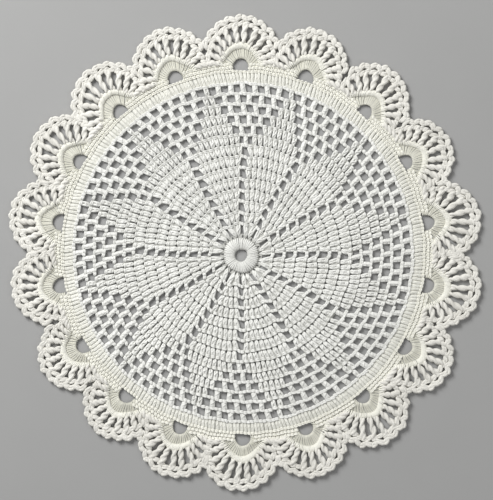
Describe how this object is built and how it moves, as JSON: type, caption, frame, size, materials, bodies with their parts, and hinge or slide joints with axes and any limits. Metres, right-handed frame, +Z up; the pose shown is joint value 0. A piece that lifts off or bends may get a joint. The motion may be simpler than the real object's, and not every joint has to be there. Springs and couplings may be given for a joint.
{
  "type": "crochet table mat",
  "caption": "Round openwork cotton table mat, laid flat: petals spreading from a puffed ring, an open net, a plain border and a scalloped edge of arches and fans.",
  "frame": {"origin": "middle of the mat's outline, on its underside", "axes": "+Z up out of the face that shows, +Y towards the scallop at the top of the picture, +X to its right"},
  "size_m": [0.3556, 0.3592, 0.003],
  "materials": {
    "cotton": "matt off-white cotton yarn, crocheted, slightly creamier in the arches and the border"
  },
  "bodies": {
    "root": {"mat": "cotton"}
  },
  "joints": []
}
